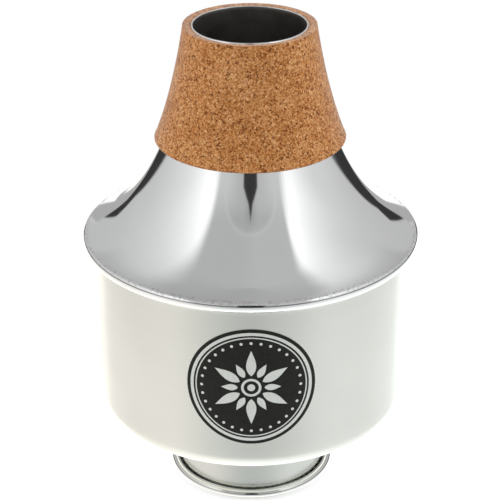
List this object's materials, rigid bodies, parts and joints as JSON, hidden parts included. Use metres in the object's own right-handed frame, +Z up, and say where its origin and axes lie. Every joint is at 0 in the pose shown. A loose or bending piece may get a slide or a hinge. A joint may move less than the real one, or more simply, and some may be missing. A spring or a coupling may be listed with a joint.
{
  "type": "trumpet mute",
  "caption": "Straight-sided wah-wah mute for a trumpet: flared neck with a cork collar on a round cup, with a sliding stem and bowl.",
  "frame": {"origin": "centre of the plane that the stem bowl's rolled rim stands on, on the mute's axis", "axes": "+Z up along the mute's axis, from the stem bowl to the neck's mouth; -Y is the front, where the label is; +X is to the right seen from the front"},
  "size_m": [0.104, 0.104, 0.1499],
  "materials": {
    "polished_aluminium": "mirror polished",
    "satin_aluminium": "satin, turned lines round the axis",
    "cork": "agglomerated cork sheet, bare",
    "black_label": "thin black film with a silver print",
    "ferrule_aluminium": "as turned",
    "tube_aluminium": "drawn tube, bright",
    "bowl_aluminium": "polished"
  },
  "bodies": {
    "body": {"cone_shell": "polished_aluminium", "cup_shell": "satin_aluminium", "cork_collar": "cork", "round_label": "black_label", "stem_ferrule": "ferrule_aluminium"},
    "stem": {"stem_tube": "tube_aluminium", "stem_bowl": "bowl_aluminium"}
  },
  "joints": [
    {"name": "stem_slide", "type": "slide", "parent": "body", "child": "stem", "axis": [0, 0, -1], "range_m": [0, 0.055]}
  ]
}
